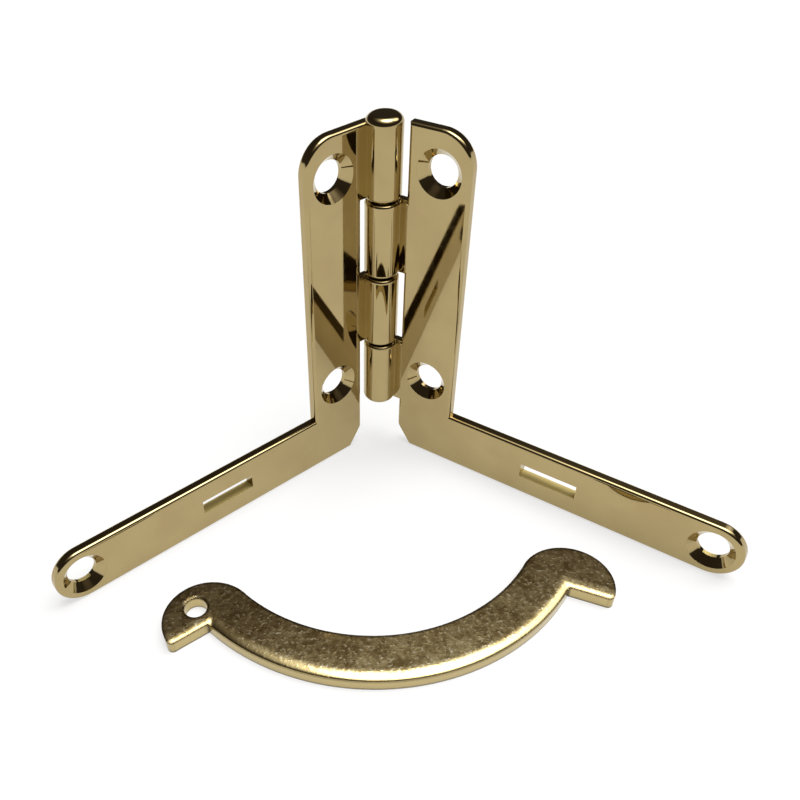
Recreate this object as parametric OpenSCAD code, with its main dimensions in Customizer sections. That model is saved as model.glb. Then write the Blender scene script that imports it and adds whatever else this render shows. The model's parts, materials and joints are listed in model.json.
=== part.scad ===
// Scissor hinge for a small box: two L-shaped leaves that share a four-knuckle barrel on one
// pin, and the loose quadrant stay that slides through the slots of both arms when fitted.
// Millimetres, +Z up along the hinge axis. The set stands open on the floor plane z = 0, and
// the origin is the middle of its footprint. Each leaf is drawn in a flat frame of its own:
// x runs out along the arm from the hinge axis, y goes through the plate from its front face's
// side to its back, and z runs up the leg.

/* [Leaves] */
// Angle between the two leaves as they stand
opening = 105.7; // [60:0.1:150]
// Height of the upright leg
leg_h = 48.2; // [42:0.1:60]
// Width of the upright leg
leg_w = 8.4; // [7.5:0.1:11]
// Hinge axis to the leg's inner edge
leg_in = 2.85; // [2.7:0.05:4.5]
// Hinge axis to the arm's round tip
arm_len = 52.9; // [46:0.1:70]
// Width of the arm
arm_w = 8.1; // [7:0.1:11]
// Thickness of the plate
plate_t = 1.6; // [1.4:0.1:2]
// Radius on the plate's polished edges
edge_r = 0.45; // [0.2:0.05:0.6]
// Hinge axis back to the plate's front face
face_set = 0.7; // [0.2:0.05:0.8]
// Radius of the leg's upper outer corner
corner_r = 4.2; // [2:0.1:4.6]
// Cut-off at the lower inner corner, along the arm
chamfer_x = 2.4; // [1:0.1:3]
// Cut-off at the lower inner corner, up the leg
chamfer_z = 3.5; // [1:0.1:4]

/* [Screw holes] */
// Through hole for the screw
screw_d = 4; // [3:0.1:4.4]
// Countersink rim on the front face
sink_d = 6; // [5:0.1:6.6]
// Depth of the countersink
sink_depth = 1; // [0.6:0.05:1.2]
// Hinge axis to the two holes in the leg
leg_hole_x = 7.1; // [6.6:0.1:8]
// Top of the leg down to the upper hole
top_hole_drop = 5.2; // [4:0.1:8]
// Floor up to the lower hole
low_hole_z = 12.9; // [12:0.1:20]
// Tip of the arm back to its hole
tip_hole_in = 4; // [3.8:0.1:8]

/* [Barrel and pin] */
// Outer diameter of the barrel
barrel_d = 4.6; // [4:0.1:5]
// Floor up to the lower end of the barrel
barrel_z = 7.7; // [4:0.1:12]
// Upper end of the barrel above the top of the leg
barrel_proud = 0.7; // [0:0.05:1]
// Knuckles on the barrel, shared between the leaves by turns
knuckles = 4; // [2:2:6]
// Play between neighbouring knuckles
knuckle_gap = 0.3; // [0.1:0.05:0.5]
// Rounding on the knuckle ends
knuckle_r = 0.45; // [0.2:0.05:0.6]
// Rounding on the two ends of the barrel
barrel_end_r = 1; // [0.3:0.05:1.1]
// Diameter of the pin
pin_d = 2.2; // [1.6:0.1:2.4]
// Radial play of the pin in the turning leaf
pin_play = 0.04; // [0.02:0.01:0.08]
// Lower pin end inside the barrel's end
pin_sink = 0.15; // [0.05:0.05:0.4]
// Metal left over the pin at the closed upper end of the barrel
pin_cover = 1.2; // [1.1:0.1:3]

/* [Quadrant stay] */
// Hinge axis to the near end of the slot in each arm
slot_in = 22.8; // [18:0.1:26]
// Width of the stay's band
stay_w = 6.2; // [5:0.1:7.5]
// Thickness of the stay
stay_t = 2; // [1.6:0.1:2.4]
// Radius on the stay's outer edges
stay_edge_r = 0.3; // [0.2:0.05:0.5]
// Width of the rolled slope along the outer edges of the stay's upper face
slope_w = 1.5; // [0.8:0.1:2]
// Drop of that slope
slope_drop = 0.35; // [0.1:0.05:0.4]
// How much narrower the slope is along the stop edges
stop_slope_less = 0.5; // [0.1:0.05:0.8]
// Stay's inner edge clear of the slot's near end
slot_clear = 0.15; // [0.1:0.05:0.4]
// Spare length of the slot beyond the band
slot_spare = 1.75; // [0.5:0.05:2]
// Spare width of the slot around the band's thickness
slot_play = 0.2; // [0.2:0.05:0.6]
// Angle between the middles of the stay's two heads
stay_span = 103.2; // [85:0.1:115]
// Radius of the round head at each end
head_r = 5.8; // [5:0.1:6.5]
// Stop edge of the hook back from the middle of the head, at the band's outer edge
stop_back = 0.4; // [0:0.05:1]
// Lean of the stop edge away from the band
stop_lean = 9; // [0:0.5:15]
// Rounding on the point of each hook
hook_r = 0.7; // [0.3:0.05:1]
// Hole in one head
stay_hole_d = 2.9; // [1.5:0.1:3.4]
// Bevel at the rim of that hole
stay_hole_bevel = 0.15; // [0.1:0.05:0.5]
// Middle of the head to that hole
stay_hole_y = 2.6; // [2:0.05:2.8]
// Hinge axis forward to the middle of the arc of the stay where it lies
stay_y = 15.6; // [10:0.05:22]
// Middle of that arc to the left of the hinge axis
stay_x = 2.5; // [-4:0.1:6]
// Turn of the stay where it lies
stay_turn = 4.5; // [-8:0.1:8]

/* [Hidden] */
$fn = 96;
eps = 0.01;
GOLD = [0.78, 0.69, 0.47];
PIN_GOLD = [0.66, 0.57, 0.36];
STAY_GOLD = [0.55, 0.46, 0.26];

leg_out = leg_in + leg_w;
corner_x = leg_out - corner_r;
plate_back = face_set + plate_t;
arm_end_x = arm_len - arm_w / 2;
screw_holes = [
    [leg_hole_x, leg_h - top_hole_drop],
    [leg_hole_x, low_hole_z],
    [arm_len - tip_hole_in, arm_w / 2],
];

barrel_r = barrel_d / 2;
barrel_top = leg_h + barrel_proud;
knuckle_pitch = (barrel_top - barrel_z + knuckle_gap) / knuckles;
knuckle_len = knuckle_pitch - knuckle_gap;

slot_len = slot_clear + stay_w + slot_spare;
slot_w = stay_t + slot_play;
stay_in = slot_in + slot_clear;
stay_out = stay_in + stay_w;
// The head's rim bulges a little past the band's inner edge, so that the two run together
head_mid = stay_in + head_r - 0.03;
band_lap = (slope_w - stop_back) / stay_out * 180 / PI;
slope_r = (slope_w ^ 2 + slope_drop ^ 2) / (2 * slope_drop);
slope_z = stay_t - slope_r;
// The rounding of the edge runs smoothly into the slope at this angle
slope_from = 90 + asin((slope_w - stay_edge_r) / (slope_r - stay_edge_r));
edge_z = slope_z + (slope_r - stay_edge_r) * sin(slope_from);
edge_to = 160;
// Sloping edge in section, x inward from the edge: it starts and ends a little outside the metal
slope_points = arc_points(slope_w, slope_z, slope_r, slope_from, 90, 1, 4);
edge_points = concat(
    [[stay_edge_r * (1 + cos(edge_to) - sin(edge_to)), edge_z + stay_edge_r * (sin(edge_to) + cos(edge_to))]],
    arc_points(stay_edge_r, edge_z, stay_edge_r, edge_to, slope_from, 0, 3),
    [slope_points[0], slope_points[1], slope_points[2], 3 * slope_points[3] - 2 * slope_points[2]]
);

// The footprint runs from the front of the stay to the back of the barrel
axis_y = (stay_y + stay_out - barrel_r) / 2;

// Rectangle with its lower left corner at the origin and all four corners rounded
module rounded_rect(w, h, r) {
    translate([r, 0]) square([w - 2 * r, h]);
    translate([0, r]) square([w, h - 2 * r]);
    for (x = [r, w - r], y = [r, h - r]) translate([x, y]) circle(r);
}

// Points of an arc about (x, z), in short steps from one angle to the other
function arc_points(x, z, r, from, to, first, steps) = [
    for (i = [first : steps]) let (a = from + (to - from) * i / steps) [x + r * cos(a), z + r * sin(a)]
];

// Section of a roof over the stay, as wide as w inward from the sloping edge at x = 0
module roof_section(w) {
    low = edge_points[0];
    high = edge_points[len(edge_points) - 1];
    polygon(concat([[w, -1], [low[0], -1]], edge_points, [[w, high[1]]]));
}

// Turns the half of a section that lies beyond its middle into a round plate
module turned(radius, thick) {
    rotate_extrude() intersection() {
        translate([-radius, 0]) children();
        square([radius, thick]);
    }
}

// Round plate with rounded rims, lying on the xy plane
module soft_disc(radius, thick, r) {
    turned(radius, thick) rounded_rect(2 * radius, thick, r);
}

// Plate bar that stands up from z = from to z = to, across the leg's whole width
module leg_bar(from, to) {
    translate([leg_in, face_set, from])
        linear_extrude(to - from) rounded_rect(leg_w, plate_t, edge_r);
}

// Plate bar that runs out along x, with its lower edge at z
module arm_bar(from, to, z, width) {
    translate([from, face_set, z]) rotate([90, 0, 90])
        linear_extrude(to - from) rounded_rect(plate_t, width, edge_r);
}

// Round plate end about a point of the leaf
module arm_disc(x, z, radius) {
    translate([x, face_set, z]) rotate([-90, 0, 0]) soft_disc(radius, plate_t, edge_r);
}

module leaf_plate() {
    intersection() {
        leg_bar(0, leg_h);
        arm_bar(0, corner_x, 0, leg_h);
    }
    leg_bar(arm_w / 2, leg_h - corner_r);
    arm_disc(corner_x, leg_h - corner_r, corner_r);
    arm_bar(corner_x, arm_end_x, 0, arm_w);
    arm_disc(arm_end_x, arm_w / 2, arm_w / 2);
}

// Half a knuckle that stands on z = 0 with its rounded end up
module knuckle_half(r) {
    intersection() {
        translate([0, 0, -knuckle_len / 2]) soft_disc(barrel_r, knuckle_len, r);
        cylinder(r = barrel_r + 1, h = knuckle_len);
    }
}

// One knuckle, with the tongue of plate that carries it
module knuckle(index) {
    z = barrel_z + index * knuckle_pitch;
    low_r = index == 0 ? barrel_end_r : knuckle_r;
    high_r = index == knuckles - 1 ? barrel_end_r : knuckle_r;
    translate([0, 0, z + knuckle_len / 2]) {
        knuckle_half(high_r);
        mirror([0, 0, 1]) knuckle_half(low_r);
    }
    arm_bar(0, leg_in + 2 * edge_r, z, min(knuckle_len, leg_h - z));
}

module screw_hole(x, z) {
    translate([x, 0, z]) rotate([-90, 0, 0]) {
        cylinder(d = screw_d, h = plate_back + 1);
        translate([0, 0, face_set]) cylinder(d1 = sink_d, d2 = screw_d, h = sink_depth);
        cylinder(d = sink_d, h = face_set + eps);
    }
}

module stay_slot() {
    translate([slot_in, 0, (arm_w - slot_w) / 2]) cube([slot_len, plate_back + 1, slot_w]);
}

module corner_cut() {
    translate([leg_in, 0, 0]) rotate([-90, 0, 0]) linear_extrude(plate_back + 1)
        polygon([[-1, 1], [-1, -chamfer_z], [0, -chamfer_z], [chamfer_x, 0], [chamfer_x, 1]]);
}

// One whole leaf: first is the lowest knuckle that it carries, counted from 0
module leaf(first, bore_d) {
    difference() {
        union() {
            leaf_plate();
            for (index = [first : 2 : knuckles - 1]) knuckle(index);
        }
        translate([0, 0, barrel_z - 1]) cylinder(d = bore_d, h = barrel_top - pin_cover - barrel_z + 1);
        for (hole = screw_holes) screw_hole(hole[0], hole[1]);
        stay_slot();
        corner_cut();
    }
}

// Sets a leaf at its side of the opening
module at_opening() {
    translate([0, axis_y, 0]) rotate([0, 0, opening / 2 - 90]) children();
}

module left_leaf() {
    color(GOLD) mirror([1, 0, 0]) at_opening() leaf(1, pin_d);
}

module right_leaf() {
    color(GOLD) at_opening() leaf(0, pin_d + 2 * pin_play);
}

module hinge_pin() {
    color(PIN_GOLD) translate([0, axis_y, barrel_z + pin_sink])
        cylinder(d = pin_d, h = barrel_top - pin_cover - barrel_z - pin_sink);
}

// Outline of the stay, with the middle of its arc at the origin
module stay_outline() {
    half = stay_span / 2;
    reach = (stay_out + 1) / cos(half);
    intersection() {
        difference() {
            circle(stay_out);
            circle(stay_in);
        }
        polygon([[0, 0], reach * [cos(half), -sin(half)], reach * [cos(half), sin(half)]]);
    }
    at_heads() head_outline();
}

// Sets the same thing at both ends of the band: x runs out along the arc's radius through the
// middle of the head, and the band ends at y = 0
module at_heads() {
    for (side = [0, 1]) mirror([0, side, 0]) rotate([0, 0, stay_span / 2]) children();
}

// Hooked round head at the end of the band
module head_outline() {
    difference() {
        intersection() {
            head_circle();
            at_stop() translate([-2 * head_r, 0]) square(4 * head_r);
        }
        at_stop() hook_point_cut();
    }
    intersection() {
        head_circle();
        circle(stay_out - slope_w);
    }
}

module head_circle() {
    translate([head_mid, 0]) circle(head_r);
}

// Sets things at the inner end of the stop edge, with x along that edge
module at_stop() {
    translate([stay_out, -stop_back, 0]) rotate([0, 0, stop_lean]) children();
}

// What lies outside a round point on the hook, between the stop edge and the head's rim
module hook_point_cut() {
    in = stay_out - head_mid;
    mid_x = stop_back * sin(stop_lean) - in * cos(stop_lean);
    mid_y = stop_back * cos(stop_lean) + in * sin(stop_lean);
    reach = mid_x + sqrt((head_r - hook_r) ^ 2 - (mid_y - hook_r) ^ 2);
    translate([reach + eps, 0]) difference() {
        translate([0, -1]) square([head_r, hook_r + 1]);
        translate([0, hook_r - eps]) circle(hook_r);
    }
}

// Space under the stay's upper face, which slopes down along the band's outer edge and along
// the stop edges, where the metal rolled over as the stay was stamped out
module stay_roof() {
    half = stay_span / 2 + band_lap;
    rotate([0, 0, -half]) rotate_extrude(angle = 2 * half)
        translate([stay_out, 0]) mirror([1, 0]) roof_section(stay_w + 3);
    at_heads() at_stop() translate([-3 * head_r, -stop_slope_less, -2 * eps]) rotate([90, 0, 90])
        linear_extrude(6 * head_r) roof_section(4 * head_r);
}

module stay_hole() {
    translate([head_mid, stay_hole_y, 0]) {
        translate([0, 0, -1]) cylinder(d = stay_hole_d, h = stay_t + 2);
        for (end = [0, 1]) translate([0, 0, end * stay_t]) mirror([0, 0, end])
            cylinder(d1 = stay_hole_d + 2 * stay_hole_bevel, d2 = stay_hole_d, h = stay_hole_bevel);
    }
}

module quadrant_stay() {
    color(STAY_GOLD) translate([-stay_x, axis_y - stay_y, 0]) rotate([0, 0, stay_turn - 90])
        difference() {
            intersection() {
                linear_extrude(stay_t) stay_outline();
                stay_roof();
            }
            mirror([0, 1, 0]) rotate([0, 0, stay_span / 2]) stay_hole();
        }
}

left_leaf();
right_leaf();
hinge_pin();
quadrant_stay();
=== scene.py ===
"""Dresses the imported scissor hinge: three brasses, a white studio floor under a soft ceiling
light, and the photo's camera."""
import json
import math

import bpy
from mathutils import Matrix, Vector

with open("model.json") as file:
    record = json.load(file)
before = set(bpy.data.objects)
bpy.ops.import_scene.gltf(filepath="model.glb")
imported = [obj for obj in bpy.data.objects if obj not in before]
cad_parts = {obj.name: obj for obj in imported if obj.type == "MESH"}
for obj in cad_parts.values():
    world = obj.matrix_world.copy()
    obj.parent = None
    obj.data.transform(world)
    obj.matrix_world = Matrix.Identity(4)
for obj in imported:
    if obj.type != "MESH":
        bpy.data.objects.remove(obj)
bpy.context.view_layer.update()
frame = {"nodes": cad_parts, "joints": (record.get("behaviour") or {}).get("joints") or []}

MM = 0.001

# The photograph's frame, in pixels
IMAGE_SIZE = 800
# Focal length and the point where the camera's axis meets the picture, in those pixels
FOCAL_PX = 866.9
AXIS_PX = (306.35, 477.87)
# Camera place measured from the foot of the hinge axis, in metres, and its turns in degrees
CAMERA_FROM_AXIS = Vector((-0.0086, -0.0997, 0.0885))
CAMERA_YAW = -1.63
CAMERA_PITCH = 44.25
CAMERA_ROLL = 3.46
CAMERA_NEAREST = 5.0 * MM
SENSOR_MM = 36.0

FLOOR_SIZE = 8.0
FLOOR_WHITE = (0.93, 0.93, 0.93)
FLOOR_ROUGH = 0.6
# Share of the floor that is seen as plain white, so that the shadow on it stays light
FLOOR_PLAIN = 0.65

# Light of the walls by the sine of a direction's elevation: a pale surround at the floor's far
# edge and dark walls above it
WALLS = ((0.00, 0.97), (0.10, 0.97), (0.17, 0.05), (0.60, 0.04))
# Soft ceiling light by the cosine of a direction's angle from the light's middle, which leans
# right by some degrees
CEILING_LEAN = 10.0
CEILING_LIGHT = 7.4
CEILING = (
    (0.66, 0.0), (0.745, 0.09), (0.785, 0.145), (0.82, 0.29), (0.86, 0.52), (0.89, 0.9),
    (0.93, 2.0), (0.95, 5.0), (0.965, CEILING_LIGHT),
)
# Smaller soft light high on the right, in the same terms
SIDE_TOWARDS = Vector((0.62, 0.2, 0.76)).normalized()
SIDE = ((0.945, 0.0), (0.965, 0.9), (0.985, 3.0))
# Green of the dimmest light beside its red, with blue as much lower again, and the least light
# that is white
DIM_WARMTH = 0.84
WHITE_LEVEL = 0.5

# Brass of the leaves and the pin: its darkest and lightest, and its least and most roughness
LEAF_BRASS = ((0.39, 0.30, 0.142), (0.42, 0.33, 0.158))
LEAF_ROUGH = (0.02, 0.05)
PIN_BRASS = ((0.31, 0.24, 0.11), (0.34, 0.27, 0.125))
PIN_ROUGH = (0.08, 0.14)
# Bare rough brass of the walls punched through the arms
PUNCHED_BRASS = (0.72, 0.60, 0.26)
PUNCHED_ROUGH = 0.65
# Those walls lie below this height, inside the arms, and face up at least this much
ARM_INNER_TOP = 7.0 * MM
PUNCHED_FACES_UP = 0.9
# Height where the legs begin, and the forward slope that their polish gives to what they mirror
LEG_FROM = 9.0 * MM
LEG_LEAN = 0.036
# Brass of the stay: its level face's darkest and lightest, the bare specks on that face, the worn
# sides, the painted dark reflection along the rims, and its least and most roughness
STAY_BRASS = ((0.28, 0.20, 0.08), (0.64, 0.52, 0.27))
SPECK_BRASS = (0.85, 0.76, 0.5)
WORN_BRASS = (0.50, 0.40, 0.19)
RIM_PAINTED_REFLECTION = (0.06, 0.04, 0.02)
STAY_ROUGH = (0.06, 0.14)
# Reach of the painted dark reflection from a sharp edge, and the radius that shading gives to such
# edges
RIM_REFLECTION_REACH = 0.65 * MM
SOFT_RADIUS = 0.45 * MM
BEVEL_SAMPLES = 6

# Noises, each as waves a metre, detail and roughness
POLISH_CLOUDS = (160.0, 3.0, 0.5)
POLISH_HAZE = (900.0, 4.0, 0.6)
POLISH_WAVES = (150.0, 1.0, 0.5)
STAY_GRAIN = (1700.0, 3.0, 0.6)
STAY_CLOUDS = (260.0, 3.0, 0.6)
STAY_SPECKS = (2100.0, 1.0, 0.5)
STAY_HAZE = (1200.0, 4.0, 0.6)
STAY_RIPPLES = (420.0, 2.0, 0.5)
STAY_PITS = (2000.0, 2.0, 0.5)
# Depths of the noises that bend the surface, and the share of the polish's bend that shows
POLISH_DEPTH = 0.02 * MM
POLISH_STRENGTH = 0.1
RIPPLE_DEPTH = 0.015 * MM
PIT_DEPTH = 0.007 * MM

# Part of a noise's range that goes from the least to the most of what it sets
HAZE_RANGE = (0.3, 0.7)
CLOUD_RANGE = (0.35, 0.65)
STAY_RANGE = (0.41, 0.58)
SPECK_RANGE = (0.60, 0.68)
PIT_RANGE = (0.55, 0.72)
# Share of the stay's shade that its grain sets, the clouds setting the rest, and how bare its
# specks are
GRAIN_SHARE = 0.5
SPECK_MOST = 0.85
# Height of a surface's normal, from a worn slope to the level face
LEVEL_RANGE = (0.96, 0.995)
# Cosine between the softened and the true normal, from a sharp edge to a flat face
EDGE_RANGE = (0.93, 0.998)

# Places of a colour mix's sockets, whose names repeat
MIX_FACTOR = 0
MIX_COLOURS = (6, 7)
MIX_RESULT = 2


def socket_values(node, **values):
    """Sets constant values on a shader node's own sockets, spaces in a name as underscores."""
    for name, value in values.items():
        node.inputs[name.replace("_", " ")].default_value = value


def new_material(name):
    material = bpy.data.materials.new(name)
    material.use_nodes = True
    tree = material.node_tree
    return material, tree, tree.nodes["Principled BSDF"]


def noise(tree, kind):
    """One of the named noises, in the object's own space."""
    waves, detail, roughness = kind
    place = tree.nodes.new("ShaderNodeTexCoord")
    texture = tree.nodes.new("ShaderNodeTexNoise")
    socket_values(texture, Scale=waves, Detail=detail, Roughness=roughness)
    tree.links.new(place.outputs["Object"], texture.inputs["Vector"])
    return texture.outputs["Fac"]


def ramp(tree, factor, positions, colours):
    """Colour ramp through the colours at their positions."""
    node = tree.nodes.new("ShaderNodeValToRGB")
    elements = node.color_ramp.elements
    while len(elements) < len(positions):
        elements.new(0.5)
    for element, position, colour in zip(elements, positions, colours):
        element.position = position
        element.color = (*colour, 1.0)
    tree.links.new(factor, node.inputs["Fac"])
    return node.outputs["Color"]


def span(tree, factor, within, results):
    """Maps a factor from one range to another, and holds it at the ends."""
    node = tree.nodes.new("ShaderNodeMapRange")
    socket_values(node, From_Min=within[0], From_Max=within[1], To_Min=results[0], To_Max=results[1])
    tree.links.new(factor, node.inputs["Value"])
    return node.outputs["Result"]


def maths(tree, operation, first, second):
    """One step of arithmetic on a socket and a socket or a number."""
    node = tree.nodes.new("ShaderNodeMath")
    node.operation = operation
    tree.links.new(first, node.inputs[0])
    if isinstance(second, (int, float)):
        node.inputs[1].default_value = second
    else:
        tree.links.new(second, node.inputs[1])
    return node.outputs["Value"]


def blend(tree, factor, first, second):
    """Colour between two, each a socket or a fixed colour."""
    node = tree.nodes.new("ShaderNodeMix")
    node.data_type = "RGBA"
    tree.links.new(factor, node.inputs[MIX_FACTOR])
    for place, colour in zip(MIX_COLOURS, (first, second)):
        if isinstance(colour, tuple):
            node.inputs[place].default_value = (*colour, 1.0)
        else:
            tree.links.new(colour, node.inputs[place])
    return node.outputs[MIX_RESULT]


def dot_product(tree, direction):
    """Dot product of a socket's direction with a second one, which is still to be set."""
    node = tree.nodes.new("ShaderNodeVectorMath")
    node.operation = "DOT_PRODUCT"
    tree.links.new(direction, node.inputs[0])
    return node


def height_in(tree, vector):
    """Upright part of the vector that a socket gives."""
    split = tree.nodes.new("ShaderNodeSeparateXYZ")
    tree.links.new(vector, split.inputs["Vector"])
    return split.outputs["Z"]


def above_floor(tree):
    """Height of a point above the part's foot, in metres."""
    return height_in(tree, tree.nodes.new("ShaderNodeTexCoord").outputs["Object"])


def true_normal(tree):
    return tree.nodes.new("ShaderNodeNewGeometry").outputs["Normal"]


def soft_normal(tree, radius):
    """Normal that rounds sharp edges to a small radius."""
    node = tree.nodes.new("ShaderNodeBevel")
    node.samples = BEVEL_SAMPLES
    socket_values(node, Radius=radius)
    return node.outputs["Normal"]


def bump(tree, height, depth, below=None, strength=1.0):
    """Normal bent by a height, on top of another normal where one is given."""
    node = tree.nodes.new("ShaderNodeBump")
    socket_values(node, Strength=strength, Distance=depth)
    tree.links.new(height, node.inputs["Height"])
    if below is not None:
        tree.links.new(below, node.inputs["Normal"])
    return node.outputs["Normal"]


def near_edges(tree, reach):
    """One on sharp edges, falling to nought about as far from them as the reach."""
    turned = dot_product(tree, soft_normal(tree, reach))
    tree.links.new(true_normal(tree), turned.inputs[1])
    return span(tree, turned.outputs["Value"], EDGE_RANGE, (1.0, 0.0))


def punched_walls(tree):
    """One on the level walls of what is punched through the arms, and nought elsewhere."""
    low = maths(tree, "LESS_THAN", above_floor(tree), ARM_INNER_TOP)
    level = maths(tree, "GREATER_THAN", height_in(tree, true_normal(tree)), PUNCHED_FACES_UP)
    return maths(tree, "MULTIPLY", level, low)


def polished_brass(name, brass, roughness):
    """Mirror-polished plated brass: faint clouds in the colour, a fine haze, soft waves from the
    polishing wheel and the legs' lean."""
    material, tree, shader = new_material(name)
    socket_values(shader, Metallic=1.0)
    punched = punched_walls(tree)
    clouds = ramp(tree, noise(tree, POLISH_CLOUDS), CLOUD_RANGE, brass)
    tree.links.new(blend(tree, punched, clouds, PUNCHED_BRASS), shader.inputs["Base Color"])
    haze = span(tree, noise(tree, POLISH_HAZE), HAZE_RANGE, roughness)
    rough = maths(tree, "MAXIMUM", maths(tree, "MULTIPLY", punched, PUNCHED_ROUGH), haze)
    tree.links.new(rough, shader.inputs["Roughness"])
    leaning = bump(tree, maths(tree, "MAXIMUM", above_floor(tree), LEG_FROM), LEG_LEAN)
    waves = bump(tree, noise(tree, POLISH_WAVES), POLISH_DEPTH, leaning, POLISH_STRENGTH)
    tree.links.new(waves, shader.inputs["Normal"])
    return material


def stay_colour(tree):
    """Grain, clouds and bare specks on the level face, worn sides, and a painted dark reflection along
    the rims.
    """
    grain = maths(tree, "MULTIPLY", noise(tree, STAY_GRAIN), GRAIN_SHARE)
    clouds = maths(tree, "MULTIPLY", noise(tree, STAY_CLOUDS), 1.0 - GRAIN_SHARE)
    face = ramp(tree, maths(tree, "ADD", grain, clouds), STAY_RANGE, STAY_BRASS)
    specks = span(tree, noise(tree, STAY_SPECKS), SPECK_RANGE, (0.0, SPECK_MOST))
    level = span(tree, height_in(tree, true_normal(tree)), LEVEL_RANGE, (0.0, 1.0))
    metal = blend(tree, level, WORN_BRASS, blend(tree, specks, face, SPECK_BRASS))
    # Dark colour along the sharp rims: a painted dark reflection of the surroundings, not tarnish
    return blend(tree, near_edges(tree, RIM_REFLECTION_REACH), metal, RIM_PAINTED_REFLECTION)


def tumbled_brass(name):
    """Tumbled brass of the stay: browner and hazier than the leaves, rippled and finely pitted."""
    material, tree, shader = new_material(name)
    socket_values(shader, Metallic=1.0)
    tree.links.new(stay_colour(tree), shader.inputs["Base Color"])
    haze = span(tree, noise(tree, STAY_HAZE), HAZE_RANGE, STAY_ROUGH)
    tree.links.new(haze, shader.inputs["Roughness"])
    ripples = bump(tree, noise(tree, STAY_RIPPLES), RIPPLE_DEPTH, soft_normal(tree, SOFT_RADIUS))
    pits = span(tree, noise(tree, STAY_PITS), PIT_RANGE, (0.0, 1.0))
    tree.links.new(bump(tree, pits, PIT_DEPTH, ripples), shader.inputs["Normal"])
    return material


def floor_material():
    """White floor, part of it plain white to the camera and to what mirrors it."""
    material, tree, shader = new_material("studio_floor")
    socket_values(shader, Base_Color=(*FLOOR_WHITE, 1.0), Roughness=FLOOR_ROUGH, Specular_IOR_Level=0.0)
    path = tree.nodes.new("ShaderNodeLightPath")
    seen = path.outputs["Is Camera Ray"]
    for ray in ("Is Glossy Ray", "Is Transmission Ray"):
        seen = maths(tree, "MAXIMUM", seen, path.outputs[ray])
    plain = tree.nodes.new("ShaderNodeEmission")
    socket_values(plain, Strength=1.0)
    mix = tree.nodes.new("ShaderNodeMixShader")
    tree.links.new(maths(tree, "MULTIPLY", seen, FLOOR_PLAIN), mix.inputs[0])
    tree.links.new(shader.outputs["BSDF"], mix.inputs[1])
    tree.links.new(plain.outputs["Emission"], mix.inputs[2])
    tree.links.new(mix.outputs["Shader"], tree.nodes["Material Output"].inputs["Surface"])
    return material


def dress_nodes():
    leaf = polished_brass("leaf_brass", LEAF_BRASS, LEAF_ROUGH)
    pin = polished_brass("pin_brass", PIN_BRASS, PIN_ROUGH)
    stay = tumbled_brass("stay_brass")
    looks = {"left_leaf": leaf, "right_leaf": leaf, "hinge_pin": pin, "quadrant_stay": stay}
    for name, material in looks.items():
        node = frame["nodes"][name]
        node.data.materials.clear()
        node.data.materials.append(material)


def add_floor():
    half = FLOOR_SIZE / 2
    mesh = bpy.data.meshes.new("studio_floor")
    corners = [(-half, -half, 0.0), (half, -half, 0.0), (half, half, 0.0), (-half, half, 0.0)]
    mesh.from_pydata(corners, [], [(0, 1, 2, 3)])
    mesh.materials.append(floor_material())
    floor = bpy.data.objects.new("studio_floor", mesh)
    bpy.context.collection.objects.link(floor)


def light_colour(light):
    """Colour of a light as a share of the ceiling light: the dimmer, the warmer."""
    warmth = DIM_WARMTH + (1.0 - DIM_WARMTH) * min(1.0, light / WHITE_LEVEL)
    return [light / CEILING_LIGHT * warmth ** step for step in range(3)]


def light_towards(tree, axis, levels):
    """Light that depends on the angle of a direction from an axis."""
    along = dot_product(tree, tree.nodes.new("ShaderNodeTexCoord").outputs["Generated"])
    along.inputs[1].default_value = axis
    cosines, lights = zip(*levels)
    return ramp(tree, along.outputs["Value"], cosines, [light_colour(light) for light in lights])


def add_world():
    """Studio surround: dark walls on a pale horizon, and two soft lights overhead."""
    world = bpy.data.worlds.new("studio")
    bpy.context.scene.world = world
    world.use_nodes = True
    tree = world.node_tree
    lean = math.radians(CEILING_LEAN)
    ceiling_towards = (math.sin(lean), 0.0, math.cos(lean))
    total = light_towards(tree, (0.0, 0.0, 1.0), WALLS)
    for axis, levels in ((ceiling_towards, CEILING), (SIDE_TOWARDS, SIDE)):
        added = tree.nodes.new("ShaderNodeVectorMath")
        tree.links.new(total, added.inputs[0])
        tree.links.new(light_towards(tree, axis, levels), added.inputs[1])
        total = added.outputs["Vector"]
    tree.links.new(total, tree.nodes["Background"].inputs["Color"])
    socket_values(tree.nodes["Background"], Strength=CEILING_LIGHT)


def add_camera():
    """Camera of the photograph, set from the hinge axis that the joint gives."""
    yaw, pitch, roll = (math.radians(turn) for turn in (CAMERA_YAW, CAMERA_PITCH, CAMERA_ROLL))
    ahead = math.cos(pitch)
    forward = Vector((math.sin(yaw) * ahead, math.cos(yaw) * ahead, -math.sin(pitch)))
    level = Vector((math.cos(yaw), -math.sin(yaw), 0.0))
    down = forward.cross(level)
    right = level * math.cos(roll) + down * math.sin(roll)
    up = level * math.sin(roll) - down * math.cos(roll)
    turn = Matrix((right, up, -forward)).transposed().to_4x4()
    hinge = next(joint for joint in frame["joints"] if joint["name"] == "leaf_close")
    place = Vector(hinge["pos_m"]) + CAMERA_FROM_AXIS
    lens = bpy.data.cameras.new("photo_camera")
    lens.sensor_width = SENSOR_MM
    lens.lens = FOCAL_PX * SENSOR_MM / IMAGE_SIZE
    lens.shift_x = 0.5 - AXIS_PX[0] / IMAGE_SIZE
    lens.shift_y = AXIS_PX[1] / IMAGE_SIZE - 0.5
    lens.clip_start = CAMERA_NEAREST
    camera = bpy.data.objects.new("photo_camera", lens)
    camera.matrix_world = Matrix.Translation(place) @ turn
    bpy.context.collection.objects.link(camera)
    bpy.context.scene.camera = camera


dress_nodes()
add_floor()
add_world()
add_camera()
bpy.context.scene.view_settings.view_transform = "Standard"
